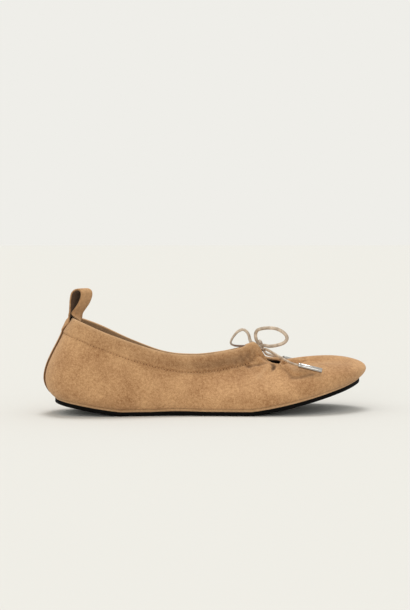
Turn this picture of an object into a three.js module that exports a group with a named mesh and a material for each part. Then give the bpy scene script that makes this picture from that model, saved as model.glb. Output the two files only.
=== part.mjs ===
import * as THREE from 'three';
import { mergeVertices } from 'three/addons/utils/BufferGeometryUtils.js';

// A right-foot ballet flat in suede, with an elasticated drawstring collar, a cord bow and a heel loop.
// Millimetres. X runs from heel to toe, Y to the inner side of the foot and Z up from the floor.
// The origin is the middle of the flat spot under the heel.

// Driving sizes of the shoe
const shoeLength = 248;
const ballWidth = 76;
const collarHeight = 71;
const soleThickness = 3;
const soleLedge = 0.5;
const soleBevel = 0.7;
const insoleThickness = 2.4;
const wall = 1.8;
const casingWidth = 12.5;
const casingStep = 0.6;
const stepShare = 0.08;
const clearance = 0.3;

// The underside: two flat spots on the floor with a shallow arch between them, and both ends curled up
const heelFlat = { from: 0.23, to: 0.3 };
const foreFlat = { from: 0.49, to: 0.61 };
const heelLift = 8.2;
const heelCurl = 1.2;
const toeSpring = 20.2;
const toeCurl = 1.22;
const archLift = 0.5;

// The heel loop and the strap that runs from it down the back seam, where it is slim. It widens up the
// casing to the loop's width, and there its middle springs off the collar while its edges lie on it. Its
// lower end is at the way strapEnd, and inside the heel it is fixed between the two ways insideEnds
const strapWidth = 13;
const strapThickness = 1.5;
const strapSlim = 0.42;
const strapSpring = 2;
const strapEnd = 0.08;
const insideEnds = { low: 0.9, high: 1.5 };
const loopHeight = 23;

// The drawstring and its metal tips
const cordWidth = 2.4;
const tipLength = 18;
const tipWidth = 3.7;
const tipChamfer = 0.4;
const tipFall = -0.22;
const knotWidth = 5.2;
const knotLength = 4.6;
const knotReach = 3.5;

// How finely the curved pieces are divided
const roundSteps = 96;
const wallSteps = 11;
const casingSteps = 3;
const soleSteps = 6;
const cordSides = 8;
const cordStep = 2;
const latheSides = 20;
const weld = 1e-4;
const nudge = 2e-3;

// Edge of the sole in plan, at equal steps of the way round from the heel: along is a share of
// the shoe's length, across a share of the ball width, minus on the outer side of the foot
const soleEdge = [
  { along: 0.0355, across: 0 },
  { along: 0.064, across: -0.24 },
  { along: 0.161, across: -0.355 },
  { along: 0.274, across: -0.362 },
  { along: 0.387, across: -0.375 },
  { along: 0.5, across: -0.426 },
  { along: 0.609, across: -0.485 },
  { along: 0.718, across: -0.503 },
  { along: 0.827, across: -0.422 },
  { along: 0.923, across: -0.228 },
  { along: 0.974, across: 0.066 },
  { along: 0.926, across: 0.36 },
  { along: 0.834, across: 0.488 },
  { along: 0.726, across: 0.502 },
  { along: 0.617, across: 0.436 },
  { along: 0.512, across: 0.345 },
  { along: 0.403, across: 0.292 },
  { along: 0.29, across: 0.29 },
  { along: 0.177, across: 0.32 },
  { along: 0.072, across: 0.25 },
];

// Edge of the collar from the heel to the end of the throat slit, at the same equal steps: outer
// and inner are its heights on the two sides of the foot, as shares of the height at the heel
const collarEdge = [
  { along: 0.087, across: 0, outer: 1, inner: 1 },
  { along: 0.101, across: 0.165, outer: 0.98, inner: 1 },
  { along: 0.173, across: 0.27, outer: 0.87, inner: 0.905 },
  { along: 0.274, across: 0.29, outer: 0.737, inner: 0.738 },
  { along: 0.375, across: 0.265, outer: 0.635, inner: 0.612 },
  { along: 0.464, across: 0.218, outer: 0.61, inner: 0.585 },
  { along: 0.54, across: 0.16, outer: 0.637, inner: 0.614 },
  { along: 0.599, across: 0.103, outer: 0.677, inner: 0.66 },
  { along: 0.64, across: 0.076, outer: 0.727, inner: 0.705 },
  { along: 0.68, across: 0.072, outer: 0.57, inner: 0.568 },
  { along: 0.728, across: 0.02, outer: 0.562, inner: 0.562 },
];

// Where the collar peaks beside the throat slit, as a share of the way round. On the outer side the
// gathers pull the slit's rim down, and pull a hollow into the vamp below it, along a line in plan
const peakTurn = 0.4;
const rimDip = { depth: 5, turn: 0.48, width: 0.022 };
const hollow = { depth: 3.8, width: 4.5, from: [102, -9.5], to: [113, -13.5] };

// Sections of the upper at the same steps, from the heel to the toe. The casing band stands at lean
// degrees and is casing of its full width there. Below it the wall leaves the stitch line dipping by
// topDip degrees and leaves the sole outwards, rising by footRise; both reaches are shares of its chord
const wallSections = [
  { casing: 1, lean: 55, topReach: 0.3, topDip: 70, footReach: 0.47, footRise: 38 },
  { casing: 1, lean: 66, topReach: 0.41, topDip: 67, footReach: 0.45, footRise: 45 },
  { casing: 1, lean: 72, topReach: 0.35, topDip: 72, footReach: 0.4, footRise: 50 },
  { casing: 1, lean: 74, topReach: 0.32, topDip: 72, footReach: 0.37, footRise: 52 },
  { casing: 1, lean: 74, topReach: 0.33, topDip: 66, footReach: 0.4, footRise: 52 },
  { casing: 1, lean: 72, topReach: 0.31, topDip: 60, footReach: 0.38, footRise: 52 },
  { casing: 1, lean: 68, topReach: 0.3, topDip: 48, footReach: 0.35, footRise: 52 },
  { casing: 1, lean: 64, topReach: 0.3, topDip: 36, footReach: 0.36, footRise: 56 },
  { casing: 0.78, lean: 58, topReach: 0.4, topDip: 21, footReach: 0.36, footRise: 54 },
  { casing: 0.4, lean: 50, topReach: 0.5, topDip: -2, footReach: 0.4, footRise: 46 },
  { casing: 0.2, lean: 30, topReach: 0.45, topDip: -11, footReach: 0.5, footRise: 38 },
];

// Middle line of the free loop, from the outside of the collar over to the inside: along and up are
// shares of the loop's height from the collar's edge, twist turns the strap towards the outer side
const loopRoute = [
  { along: -0.06, up: 0.08, twist: 11 },
  { along: 0.05, up: 0.2, twist: 29 },
  { along: 0.09, up: 0.38, twist: 36 },
  { along: 0.12, up: 0.59, twist: 41 },
  { along: 0.16, up: 0.79, twist: 41 },
  { along: 0.25, up: 0.9, twist: 41 },
  { along: 0.36, up: 0.93, twist: 41 },
  { along: 0.45, up: 0.88, twist: 41 },
  { along: 0.48, up: 0.77, twist: 41 },
  { along: 0.45, up: 0.62, twist: 41 },
  { along: 0.38, up: 0.46, twist: 41 },
  { along: 0.27, up: 0.3, twist: 41 },
  { along: 0.17, up: 0.14, twist: 41 },
  { along: 0.26, up: -0.01, twist: 12 },
  { along: 0.24, up: -0.13, twist: 4 },
];

// Routes of the drawstring in millimetres from the peak of the collar at the throat
const knotPlace = [4, -0.4, -3.3];
const outerLoopRoute = [
  [3.3, -1.5, -0.1],
  [1.7, -2.1, 2.9],
  [1.3, -2.9, 6.9],
  [2.8, -4.1, 9.8],
  [7.2, -5.3, 11.1],
  [11.8, -6.4, 11.4],
  [16.8, -7.5, 10.7],
  [21.2, -8.5, 8.4],
  [24, -9.2, 5.3],
  [24, -9.2, 2.4],
  [21.3, -8.6, -0.2],
  [16.2, -7.2, -1.9],
  [11.6, -4.9, -2.6],
  [7.5, -1.9, -2.2],
];
const innerLoopRoute = [
  [1.3, 2, -1.2],
  [-1.2, 2.1, -0.2],
  [-2.4, 2.6, 2.2],
  [-2.9, 3.4, 4.9],
  [-4.3, 4.5, 7.7],
  [-7.2, 5.8, 9.5],
  [-10.8, 7.1, 8],
  [-13.6, 8.1, 4.9],
  [-15.7, 8.8, 1.4],
  [-16.2, 8.8, -1.3],
  [-14, 7.7, -2.7],
  [-10.4, 5, -3],
  [-6.2, 2.2, -3],
  [-2.3, 0.9, -3.4],
  [0.9, 0.2, -3.4],
];
const outerEndRoute = [
  [6.5, -2.9, -5.4],
  [8.3, -5.8, -4.8],
  [10.2, -9.4, -5.5],
  [13.6, -13.8, -7.5],
  [17.7, -18.9, -10],
  [21.5, -22.9, -12.1],
  [24.6, -25.4, -13.7],
  [27.3, -26.6, -14.5],
  [29.6, -27.2, -15.1],
];
const innerEndRoute = [
  [5, 1.9, -0.4],
  [5.8, 4.2, 0.7],
  [7.2, 7, -0.8],
  [9, 9.4, -5.6],
  [11.6, 12.3, -9.6],
  [15, 15.6, -11],
  [19, 19, -12.1],
  [23, 22.3, -13.2],
  [27.3, 25.6, -14.5],
];

const toRadians = THREE.MathUtils.degToRad;
const originAlong = (shoeLength * (heelFlat.from + heelFlat.to)) / 2;
const heelEnd = soleEdge[0].along;
const toeEnd = soleEdge[soleEdge.length / 2].along;

// Value of one column at a turn from 0 to 1, on a smooth closed curve through equally spaced rows
function around(rows, turn, column) {
  const place = (turn - Math.floor(turn)) * rows.length;
  const row = Math.floor(place);
  const t = place - row;
  const [a, b, c, d] = [-1, 0, 1, 2].map((step) => rows[(row + step + rows.length) % rows.length][column]);
  return b + 0.5 * t * (c - a + t * (2 * a - 5 * b + 4 * c - d + t * (3 * (b - c) + d - a)));
}

// A half table from heel to toe, carried on round the inner side of the foot back to the heel
function bothSides(rows, outerRow, innerRow) {
  const back = rows.slice(1, -1).reverse();
  return [...rows.map(outerRow), ...back.map(innerRow)];
}

const collarRound = bothSides(
  collarEdge,
  (row) => ({ along: row.along, across: -row.across, up: row.outer }),
  (row) => ({ along: row.along, across: row.across, up: row.inner }),
);
const sectionRound = bothSides(wallSections, (row) => row, (row) => row);

// Height of the underside at a distance from the back of the heel
function underside(along) {
  const share = along / shoeLength;
  if (share < heelFlat.from) {
    return heelLift * ((heelFlat.from - share) / (heelFlat.from - heelEnd)) ** heelCurl;
  }
  if (share > foreFlat.to) {
    return toeSpring * ((share - foreFlat.to) / (toeEnd - foreFlat.to)) ** toeCurl;
  }
  if (share > heelFlat.to && share < foreFlat.from) {
    const way = (share - heelFlat.to) / (foreFlat.from - heelFlat.to);
    return archLift * Math.sin(Math.PI * way) ** 2;
  }
  return 0;
}

// Where the upper meets the sole, and the direction straight out from the sole's edge there
function footLine(turn) {
  const x = shoeLength * around(soleEdge, turn, 'along');
  const y = ballWidth * around(soleEdge, turn, 'across');
  return new THREE.Vector3(x - originAlong, y, underside(x) + soleThickness + clearance);
}

function outwards(turn) {
  const ahead = footLine(turn + nudge).sub(footLine(turn - nudge));
  return new THREE.Vector3(ahead.y, -ahead.x, 0).normalize();
}

function collarLine(turn) {
  const dip = rimDip.depth * Math.exp(-(((turn - rimDip.turn) / rimDip.width) ** 2));
  return new THREE.Vector3(
    shoeLength * around(collarRound, turn, 'along') - originAlong,
    ballWidth * around(collarRound, turn, 'across'),
    collarHeight * around(collarRound, turn, 'up') - dip,
  );
}

const hollowLine = new THREE.Line3(new THREE.Vector3(...hollow.from, 0), new THREE.Vector3(...hollow.to, 0));

function pulledIn(point) {
  const plan = point.clone().setZ(0);
  const away = hollowLine.closestPointToPoint(plan, true, new THREE.Vector3()).distanceTo(plan);
  point.z -= hollow.depth * Math.exp(-((away / hollow.width) ** 2));
  return point;
}

// One section of the upper's outer face at a turn: way runs from 0 at the sole to 1 at the stitch
// line, up a cubic curve, and from 1 to 2 straight up the casing band
function upperOuter(turn, way) {
  const column = (name) => around(sectionRound, turn, name);
  const foot = footLine(turn);
  const collar = collarLine(turn);
  const outward = new THREE.Vector3(foot.x - collar.x, foot.y - collar.y, 0).normalize();
  const tilted = (direction, degrees, length) =>
    direction
      .clone()
      .multiplyScalar(length * Math.cos(toRadians(degrees)))
      .setZ(length * Math.sin(toRadians(degrees)));
  const stitch = collar.clone().add(tilted(outward, -column('lean'), casingWidth * column('casing')));
  if (way >= 1) {
    return pulledIn(stitch.lerp(collar, way - 1));
  }
  const chord = foot.distanceTo(stitch);
  const low = foot.clone().add(tilted(outwards(turn), column('footRise'), chord * column('footReach')));
  const high = stitch.clone().add(tilted(outward, -column('topDip'), chord * column('topReach')));
  return pulledIn(new THREE.CubicBezierCurve3(foot, low, high, stitch).getPoint(way));
}

// Unit normal of the outer face, away from the foot
function upperNormal(turn, way) {
  const low = Math.max(way - nudge, 0);
  const high = Math.min(way + nudge, 2);
  const round = upperOuter(turn + nudge, way).sub(upperOuter(turn - nudge, way));
  const rise = upperOuter(turn, high).sub(upperOuter(turn, low));
  return round.cross(rise).normalize();
}

// Outer face with the casing standing proud, and inner face one wall further in. The lowest edge
// is cut level, so there the wall is measured along the floor
function upperPoint(turn, way, depth) {
  const proud = way > 1 ? casingStep : 0;
  const point = upperOuter(turn, way);
  if (way === 0) {
    const slant = Math.sin(toRadians(around(sectionRound, turn, 'footRise')));
    return point.addScaledVector(outwards(turn), -depth / slant);
  }
  return point.addScaledVector(upperNormal(turn, way), proud - depth);
}

// Closed mesh from rings of equal length: the rings follow each other round, or end in caps
function meshFromRings(rings, closed) {
  const width = rings[0].length;
  const triangles = [];
  const count = closed ? rings.length : rings.length - 1;
  for (let ring = 0; ring < count; ring += 1) {
    const next = (ring + 1) % rings.length;
    for (let step = 0; step < width; step += 1) {
      const after = (step + 1) % width;
      const [a, b] = [ring * width + step, ring * width + after];
      const [c, d] = [next * width + after, next * width + step];
      triangles.push(a, b, c, a, c, d);
    }
  }
  return { points: rings.flat(), triangles };
}

function solid({ points, triangles }) {
  const geometry = new THREE.BufferGeometry().setFromPoints(points);
  geometry.setIndex(triangles);
  const merged = mergeVertices(geometry, weld);
  const index = Array.from(merged.index.array);
  const kept = [];
  for (let i = 0; i < index.length; i += 3) {
    const [a, b, c] = index.slice(i, i + 3);
    if (a !== b && b !== c && c !== a) {
      kept.push(a, b, c);
    }
  }
  merged.setIndex(volume(merged, kept) < 0 ? kept.reverse() : kept);
  return merged;
}

// Signed volume inside the triangles
function volume(geometry, index) {
  const place = geometry.attributes.position;
  const corner = (i) => new THREE.Vector3().fromBufferAttribute(place, index[i]);
  let sum = 0;
  for (let i = 0; i < index.length; i += 3) {
    sum += corner(i).dot(corner(i + 1).cross(corner(i + 2))) / 6;
  }
  return sum;
}

// Rows of the upper: up the wall to the stitch line, over the casing's step and on to the collar's edge
const wallWays = Array.from({ length: wallSteps + 1 }, (_, step) => step / wallSteps);
const bandWays = Array.from(
  { length: casingSteps + 1 },
  (_, step) => 1 + stepShare + ((1 - stepShare) * step) / casingSteps,
);
const upperWays = [...wallWays, ...bandWays];

function upperGeometry() {
  const turns = Array.from({ length: roundSteps }, (_, step) => step / roundSteps);
  const ring = (way, depth) => turns.map((turn) => upperPoint(turn, way, depth));
  const outer = upperWays.map((way) => ring(way, 0));
  const crown = turns.map((turn) => {
    const middle = upperPoint(turn, 2, (wall + casingStep) / 2);
    const rise = upperOuter(turn, 2).sub(upperOuter(turn, 1)).normalize();
    return middle.addScaledVector(rise, casingStep);
  });
  const inner = upperWays.toReversed().map((way) => ring(way, way > 1 ? wall + casingStep : wall));
  return solid(meshFromRings([...outer, crown, ...inner], true));
}

// A slab with the sole's outline: profile rows give the ring's distance in from the edge and its height
function slabGeometry(profile) {
  const half = roundSteps / 2;
  const rings = profile.map(({ inset, height }) =>
    Array.from({ length: roundSteps }, (_, step) => {
      const turn = step / roundSteps;
      const point = footLine(turn).addScaledVector(outwards(turn), -inset(turn));
      point.z = underside(point.x + originAlong) + height;
      return point;
    }),
  );
  const { points, triangles } = meshFromRings(rings, false);
  const cap = (ring, height, flip) => {
    const start = points.length;
    for (let row = 0; row <= half; row += 1) {
      const from = ring[row];
      const to = ring[(roundSteps - row) % roundSteps];
      for (let column = 0; column <= soleSteps; column += 1) {
        const point = from.clone().lerp(to, column / soleSteps);
        if (column > 0 && column < soleSteps) {
          point.z = underside(point.x + originAlong) + height;
        }
        points.push(point);
      }
    }
    for (let row = 0; row < half; row += 1) {
      for (let column = 0; column < soleSteps; column += 1) {
        const a = start + row * (soleSteps + 1) + column;
        const [b, c, d] = [a + 1, a + soleSteps + 2, a + soleSteps + 1];
        triangles.push(...(flip ? [a, c, b, a, d, c] : [a, b, c, a, c, d]));
      }
    }
  };
  cap(rings[0], profile[0].height, false);
  cap(rings.at(-1), profile.at(-1).height, true);
  return solid({ points, triangles });
}

function outsoleGeometry() {
  return slabGeometry([
    { inset: () => soleBevel - soleLedge, height: 0 },
    { inset: () => -soleLedge, height: soleBevel },
    { inset: () => -soleLedge, height: soleThickness },
  ]);
}

function insoleGeometry() {
  const inset = (turn) => wall / Math.sin(toRadians(around(sectionRound, turn, 'footRise'))) + clearance;
  const bottom = soleThickness + clearance;
  return slabGeometry([
    { inset, height: bottom },
    { inset, height: bottom + insoleThickness },
  ]);
}

// The heel strap as rows of paired points, its outer face first, from the sole up the back seam,
// round the free loop and down inside the collar
function strapRows() {
  const rows = [];
  const shares = [-1, -0.5, 0, 0.5, 1];
  const columnsAt = (way, width, depths) => {
    const speed = upperOuter(nudge, way).distanceTo(upperOuter(-nudge, way)) / (2 * nudge);
    return shares.map((share) => {
      const turn = (-share * width) / 2 / speed;
      return depths(share).map((depth) => upperPoint(turn, way, depth));
    });
  };
  for (const way of [strapEnd, ...upperWays.filter((value) => value > strapEnd && value < 2)]) {
    const width = strapWidth * (strapSlim + (1 - strapSlim) * THREE.MathUtils.smoothstep(way, 1, 2));
    const depths = (share) => {
      const back = -clearance - strapSpring * Math.max(way - 1, 0) * (1 - share ** 2);
      return [back - strapThickness, back];
    };
    rows.push(columnsAt(way, width, depths));
  }
  const top = upperPoint(0, 2, 0);
  const height = (share) => share * loopHeight;
  const middle = new THREE.CatmullRomCurve3(
    loopRoute.map((row) => new THREE.Vector3(top.x + height(row.along), 0, top.z + height(row.up))),
  );
  loopRoute.forEach((row, index) => {
    const at = index / (loopRoute.length - 1);
    const centre = middle.getPoint(at);
    const twist = toRadians(row.twist);
    const width = new THREE.Vector3(Math.sin(twist), Math.cos(twist), 0);
    const face = width.clone().cross(middle.getTangent(at)).normalize();
    rows.push(
      shares.map((share) => {
        const across = centre.clone().addScaledVector(width, (share * strapWidth) / 2);
        return [-1, 1].map((side) => across.clone().addScaledVector(face, (side * strapThickness) / 2));
      }),
    );
  });
  for (const way of upperWays.filter((value) => value > insideEnds.low && value < insideEnds.high).reverse()) {
    const lined = (way > 1 ? wall + casingStep : wall) + clearance;
    rows.push(columnsAt(way, strapWidth, () => [lined + strapThickness, lined]));
  }
  return rows;
}

function strapGeometry() {
  const rings = strapRows().map((row) => {
    const outer = row.map((pair) => pair[0]);
    const inner = row.map((pair) => pair[1]);
    return [...outer, ...inner.reverse()];
  });
  const { points, triangles } = meshFromRings(rings, false);
  const width = rings[0].length;
  for (let step = 0; step < width / 2 - 1; step += 1) {
    const [a, b, c, d] = [step, step + 1, width - 2 - step, width - 1 - step];
    const last = (rings.length - 1) * width;
    triangles.push(a, c, b, a, d, c, last + a, last + b, last + c, last + a, last + c, last + d);
  }
  return solid({ points, triangles });
}

const throatPeak = collarLine(peakTurn).setY(0);

function fromPeak(step) {
  return throatPeak.clone().add(new THREE.Vector3(...step));
}

function cordGeometry(route) {
  const path = new THREE.CatmullRomCurve3(route.map(fromPeak));
  const section = new THREE.Shape();
  section.absarc(0, 0, cordWidth / 2, 0, 2 * Math.PI);
  const geometry = new THREE.ExtrudeGeometry(section, {
    steps: Math.ceil(path.getLength() / (cordStep * cordWidth)),
    curveSegments: cordSides,
    bevelEnabled: false,
    extrudePath: path,
  });
  geometry.deleteAttribute('normal');
  geometry.deleteAttribute('uv');
  return mergeVertices(geometry, weld);
}

// The knot, with the two strands that come to it out of the casing's ends
function knotGeometry() {
  const strand = cordWidth / 2;
  const profile = [
    [0, -knotReach],
    [strand, -knotReach],
    [strand, -knotLength / 2],
    [knotWidth / 2, -knotLength / 3],
    [knotWidth / 2, knotLength / 3],
    [strand, knotLength / 2],
    [strand, knotReach],
    [0, knotReach],
  ];
  return lathe(profile);
}

function lathe(profile) {
  const geometry = new THREE.LatheGeometry(profile.map(([x, y]) => new THREE.Vector2(x, y)), latheSides);
  geometry.deleteAttribute('normal');
  geometry.deleteAttribute('uv');
  const merged = mergeVertices(geometry, weld);
  const points = [];
  for (let i = 0; i < merged.attributes.position.count; i += 1) {
    points.push(new THREE.Vector3().fromBufferAttribute(merged.attributes.position, i));
  }
  return solid({ points, triangles: Array.from(merged.index.array) });
}

function tipGeometry() {
  const radius = tipWidth / 2;
  return lathe([
    [0, 0],
    [radius - tipChamfer, 0],
    [radius, tipChamfer],
    [radius, tipLength - tipChamfer],
    [radius - tipChamfer, tipLength],
    [0, tipLength],
  ]);
}

// A tip in line with the last stretch of its cord in plan and falling by tipFall of its length, one
// clearance past the cord's end
function tipMesh(name, route) {
  const [before, end] = route.slice(-2).map(fromPeak);
  const along = end.clone().sub(before).setZ(tipFall * end.distanceTo(before)).normalize();
  const piece = mesh(name, tipGeometry(), steel);
  piece.position.copy(end.addScaledVector(along, clearance));
  piece.quaternion.setFromUnitVectors(new THREE.Vector3(0, 1, 0), along);
  return piece;
}

const suede = new THREE.MeshStandardMaterial({ color: 0xb58a60, roughness: 0.95, metalness: 0 });
const leather = new THREE.MeshStandardMaterial({ color: 0xc7a592, roughness: 0.6, metalness: 0 });
const steel = new THREE.MeshStandardMaterial({ color: 0xd6d4d0, roughness: 0.25, metalness: 1 });
const rubber = new THREE.MeshStandardMaterial({ color: 0x161514, roughness: 0.6, metalness: 0 });
const lining = new THREE.MeshStandardMaterial({ color: 0xb08a78, roughness: 0.7, metalness: 0 });

function mesh(name, geometry, material) {
  const piece = new THREE.Mesh(geometry, material);
  piece.name = name;
  return piece;
}

const shoe = new THREE.Group();
shoe.add(mesh('outsole', outsoleGeometry(), rubber));
shoe.add(mesh('insole', insoleGeometry(), lining));
shoe.add(mesh('upper', upperGeometry(), suede));
shoe.add(mesh('pull_loop', strapGeometry(), suede));

const knot = mesh('bow_knot', knotGeometry(), leather);
knot.position.copy(fromPeak(knotPlace));
shoe.add(knot);
shoe.add(mesh('bow_loop_outer', cordGeometry(outerLoopRoute), leather));
shoe.add(mesh('bow_loop_inner', cordGeometry(innerLoopRoute), leather));
shoe.add(mesh('bow_end_outer', cordGeometry(outerEndRoute), leather));
shoe.add(mesh('bow_end_inner', cordGeometry(innerEndRoute), leather));
shoe.add(tipMesh('cord_tip_outer', outerEndRoute));
shoe.add(tipMesh('cord_tip_inner', innerEndRoute));

export default shoe;
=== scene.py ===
"""A ballet flat in suede with a drawstring bow and a heel loop: the right shoe, seen from its outer side."""
import math

import bpy
import numpy as np
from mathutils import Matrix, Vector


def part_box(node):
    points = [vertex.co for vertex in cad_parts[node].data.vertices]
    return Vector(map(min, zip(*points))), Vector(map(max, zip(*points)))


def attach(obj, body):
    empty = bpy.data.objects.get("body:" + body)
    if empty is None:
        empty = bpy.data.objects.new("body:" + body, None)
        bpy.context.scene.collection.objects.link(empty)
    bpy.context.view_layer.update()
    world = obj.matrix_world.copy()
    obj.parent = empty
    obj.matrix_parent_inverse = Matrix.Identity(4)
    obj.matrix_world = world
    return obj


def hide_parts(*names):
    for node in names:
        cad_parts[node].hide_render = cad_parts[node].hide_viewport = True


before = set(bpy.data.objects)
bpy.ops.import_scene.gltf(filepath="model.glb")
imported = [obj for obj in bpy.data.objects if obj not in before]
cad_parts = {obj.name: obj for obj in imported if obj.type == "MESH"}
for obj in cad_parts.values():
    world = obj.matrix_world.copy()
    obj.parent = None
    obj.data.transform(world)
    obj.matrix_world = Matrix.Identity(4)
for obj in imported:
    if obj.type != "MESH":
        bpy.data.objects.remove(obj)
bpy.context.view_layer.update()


# The view. A camera a metre off the shoe's outer side, a little towards its heel and low over a wide sheet
# of matt pale paper, under an even white sky. A large soft lamp high up behind the shoe gives the shade
# under it, and a weaker and wider one beside the camera lights its side.
MM = 0.001
FRAME_HEIGHT_PIXELS = 610
FOCAL_PIXELS = 1313
SENSOR_MM = 36
AIM = np.array([56.3, 4.0, 80.2])
CAMERA_DISTANCE = 1000
CAMERA_TILT = 2.84
CAMERA_TURN = -6.5
FLOOR_SIDE = 60000
PAPER_TONE = "D4D3CF"
SKY_TONE = "EFEEE9"
LAMPS = {
    "overhead_lamp": {"strength": 1.35, "spread": 24, "lean": (-16, -10)},
    "front_lamp": {"strength": 1.05, "spread": 50, "lean": (86, -20)},
}


def linear(code):
    """Linear colour of an sRGB hex code: c / 12.92 up to 0.04045, else ((c + 0.055) / 1.055) to the 2.4."""
    shares = np.array([int(code[i:i + 2], 16) / 255 for i in (0, 2, 4)])
    bright = ((shares + 0.055) / 1.055) ** 2.4
    return (*np.where(shares > 0.04045, bright, shares / 12.92).tolist(), 1.0)


def surface(name, points, round_rows=False, round_columns=False, attributes=None):
    """Mesh of a grid of points in millimetres: one quad between each two rows and two columns."""
    rows, columns = points.shape[:2]
    row = np.arange(rows if round_rows else rows - 1)[:, None]
    column = np.arange(columns if round_columns else columns - 1)[None, :]
    next_row = (row + 1) % rows
    next_column = (column + 1) % columns
    corners = [(row, column), (row, next_column), (next_row, next_column), (next_row, column)]
    quads = np.stack([np.broadcast_to(r * columns + c, (row.size, column.size)) for r, c in corners], -1)
    mesh = bpy.data.meshes.new(name)
    mesh.from_pydata((points.reshape(-1, 3) * MM).tolist(), [], quads.reshape(-1, 4).tolist())
    for key, values in (attributes or {}).items():
        data = mesh.attributes.new(key, "FLOAT", "POINT").data
        data.foreach_set("value", np.broadcast_to(values, (rows, columns)).astype(np.float32).ravel())
    mesh.polygons.foreach_set("use_smooth", np.ones(len(mesh.polygons), dtype=bool))
    mesh.update()
    piece = bpy.data.objects.new(name, mesh)
    bpy.context.collection.objects.link(piece)
    return piece


def finish(name, **constants):
    """A material with one Principled shader, whose constant inputs are set here."""
    material = bpy.data.materials.new(name)
    material.use_nodes = True
    shader = material.node_tree.nodes["Principled BSDF"]
    for socket, value in constants.items():
        shader.inputs[socket.replace("_", " ")].default_value = value
    return material, material.node_tree, shader


paper, _, _ = finish("matt_paper", Base_Color=linear(PAPER_TONE), Roughness=1.0, Specular_IOR_Level=0.0)
corner = FLOOR_SIDE / 2
corners = [[[-corner, -corner, 0], [corner, -corner, 0]], [[-corner, corner, 0], [corner, corner, 0]]]
floor = surface("paper_floor", np.array(corners))
floor.data.materials.append(paper)

for name, made in LAMPS.items():
    lamp = bpy.data.lights.new(name, "SUN")
    lamp.energy = made["strength"]
    lamp.angle = math.radians(made["spread"])
    holder = bpy.data.objects.new(name, lamp)
    lean, swing = made["lean"]
    holder.rotation_euler = (math.radians(lean), 0, math.radians(swing))
    bpy.context.collection.objects.link(holder)

world = bpy.data.worlds.new("studio")
world.use_nodes = True
world.node_tree.nodes["Background"].inputs["Color"].default_value = linear(SKY_TONE)
bpy.context.scene.world = world
bpy.context.scene.view_settings.view_transform = "Standard"

tilt = math.radians(CAMERA_TILT)
turn = math.radians(CAMERA_TURN)
backwards = np.array([math.sin(turn) * math.cos(tilt), -math.cos(turn) * math.cos(tilt), math.sin(tilt)])
camera_data = bpy.data.cameras.new("camera")
camera_data.sensor_width = SENSOR_MM
camera_data.lens = SENSOR_MM * FOCAL_PIXELS / FRAME_HEIGHT_PIXELS
camera = bpy.data.objects.new("camera", camera_data)
camera.location = (AIM + backwards * CAMERA_DISTANCE) * MM
camera.rotation_euler = (math.pi / 2 - tilt, 0, turn)
bpy.context.collection.objects.link(camera)
bpy.context.scene.camera = camera


# The drawstring. A flat cord of soft leather in pale pinkish beige that runs inside the collar's casing,
# comes out at the throat and is tied there into a small bow. Its loops and ends start at the knot.
CORD_WIDTH = 2.6
CORD_THICKNESS = 1.5
CORD_STEP = 0.5
CORD_SIDES = 20
DOME_RINGS = 6
CURVE_STEPS = 40
BACK_LEVEL = -0.25
CORD_GRAIN = {"tone": 3.85, "pores": 0.385}
KNOT_PLACE = np.array([4, -0.4, -3.3])
KNOT_DROP = 0.8
CORDS = {
    "bow_loop_outer": {
        "far_end": "object",
        "turned": (0, 12),
        "route": [
            [3.3, -1.5, -0.1], [1.7, -2.1, 2.9], [1.3, -2.9, 6.9], [2.8, -4.1, 9.8], [7.2, -5.3, 11.1],
            [11.8, -6.4, 11.4], [16.8, -7.5, 10.7], [21.2, -8.5, 8.4], [24, -9.2, 5.3], [24, -9.2, 2.4],
            [21.3, -8.6, -0.2], [16.2, -7.2, -1.9], [11.6, -4.9, -2.6], [7.5, -1.9, -2.2],
        ],
    },
    "bow_loop_inner": {
        "far_end": "object",
        "turned": (-10, 150),
        "route": [
            [1.3, 2, -1.2], [-1.2, 2.1, -0.2], [-2.4, 2.6, 2.2], [-2.9, 3.4, 4.9], [-4.3, 4.5, 7.7],
            [-7.2, 5.8, 9.5], [-10.8, 7.1, 8], [-13.6, 8.1, 4.9], [-15.7, 8.8, 1.4], [-16.2, 8.8, -1.3],
            [-14, 7.7, -2.7], [-10.4, 5, -3], [-6.2, 2.2, -3], [-2.3, 0.9, -3.4], [0.9, 0.2, -3.4],
        ],
    },
    "bow_end_outer": {
        "far_end": "fitting",
        "turned": (30, 65),
        "route": [
            [6.5, -2.9, -5.4], [8.3, -5.8, -4.8], [10.2, -9.4, -5.5], [13.6, -13.8, -7.5],
            [17.7, -18.9, -10], [21.5, -22.9, -12.1], [24.6, -25.4, -13.7], [27.3, -26.6, -14.5],
            [29.6, -27.2, -15.1],
        ],
    },
    "bow_end_inner": {
        "far_end": "fitting",
        "turned": (-50, -50),
        "route": [
            [5, 1.9, -0.4], [5.8, 4.2, 0.7], [7.2, 7, -0.8], [9, 9.4, -5.6], [11.6, 12.3, -9.6],
            [15, 15.6, -11], [19, 19, -12.1], [23, 22.3, -13.2], [27.3, 25.6, -14.5],
        ],
    },
}


def unit(vectors):
    """Each vector divided by its own length."""
    return vectors / np.linalg.norm(vectors, axis=-1, keepdims=True)


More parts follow.
